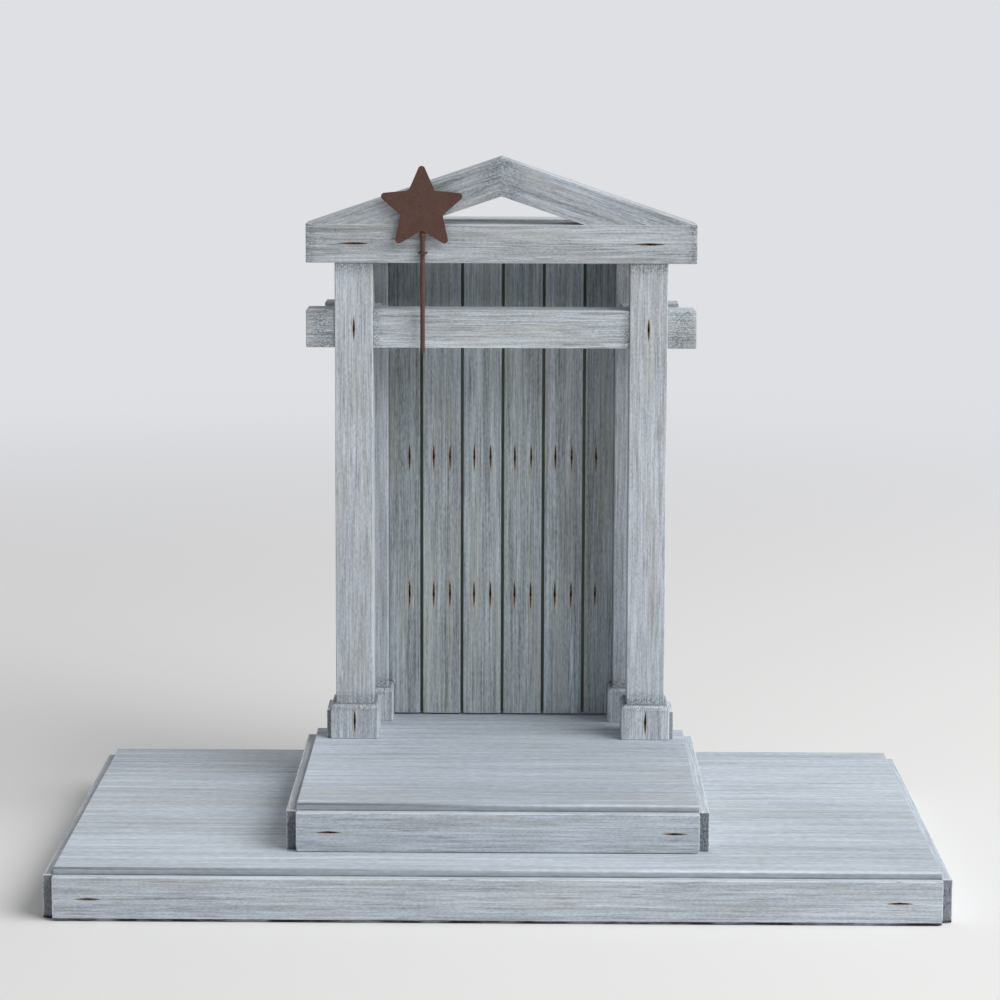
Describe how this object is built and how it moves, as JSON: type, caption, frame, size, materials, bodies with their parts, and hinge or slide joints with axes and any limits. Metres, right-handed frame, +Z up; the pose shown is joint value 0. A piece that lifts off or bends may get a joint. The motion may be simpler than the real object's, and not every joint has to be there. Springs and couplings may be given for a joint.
{
  "type": "wooden nativity stable",
  "caption": "Tabletop nativity stable: a stepped platform carrying an open porch on square posts, a plank back wall, a low gable and a metal star on a rod.",
  "frame": {"origin": "middle of the platform's outline on the surface that it stands on", "axes": "+X to the right when seen from the front, +Y toward the back wall so that -Y is the front, +Z up"},
  "size_m": [0.613, 0.316, 0.5034],
  "materials": {
    "painted_wood": "matte blue-grey paint, brushed thin and worn white on the arrises",
    "painted_board": "matte blue-grey paint, brushed thin",
    "painted_plank": "matte blue-grey paint, streaked along the grain",
    "dark_panel": "matte dark olive",
    "bare_wood": "bare",
    "nail_steel": "dark, sunk in its slit",
    "rusted_steel": "matte brown rust"
  },
  "bodies": {
    "stable": {"lower_deck": "painted_wood", "lower_front_board": "painted_board", "lower_back_board": "painted_board", "lower_left_board": "painted_board", "lower_right_board": "painted_board", "lower_bearers": "bare_wood", "upper_deck": "painted_wood", "upper_front_board": "painted_board", "upper_left_board": "painted_board", "upper_right_board": "painted_board", "upper_shoulder_strips": "painted_board", "rear_left_board": "painted_board", "rear_right_board": "painted_board", "rear_back_board": "painted_board", "upper_bearers": "bare_wood", "front_left_foot": "painted_wood", "front_right_foot": "painted_wood", "rear_left_foot": "painted_wood", "rear_right_foot": "painted_wood", "front_left_cheek": "painted_board", "front_right_cheek": "painted_board", "rear_left_cheek": "painted_board", "rear_right_cheek": "painted_board", "front_left_post": "painted_wood", "front_right_post": "painted_wood", "rear_left_post": "painted_wood", "rear_right_post": "painted_wood", "front_beam": "painted_wood", "rear_left_stub": "painted_wood", "rear_right_stub": "painted_wood", "left_side_rail": "painted_wood", "right_side_rail": "painted_wood", "pediment_chord": "painted_wood", "left_rafter": "painted_wood", "right_rafter": "painted_wood", "rear_lintel": "painted_wood", "back_panel": "dark_panel", "plank_1": "painted_plank", "plank_2": "painted_plank", "plank_3": "painted_plank", "plank_4": "painted_plank", "plank_5": "painted_plank", "plank_6": "painted_plank", "lower_wall_rail": "bare_wood", "middle_wall_rail": "bare_wood", "upper_wall_rail": "bare_wood", "step_nails": "nail_steel", "foot_nails": "nail_steel", "beam_nails": "nail_steel", "chord_nails": "nail_steel", "plank_nails": "nail_steel", "rail_nails": "nail_steel", "rod_staple": "rusted_steel"},
    "star_and_rod": {"star": "rusted_steel", "star_rod": "rusted_steel"}
  },
  "joints": [
    {"name": "star_lift", "type": "slide", "parent": "stable", "child": "star_and_rod", "axis": [0, 0, 1], "range_m": [-0.0108, 0.08]}
  ]
}
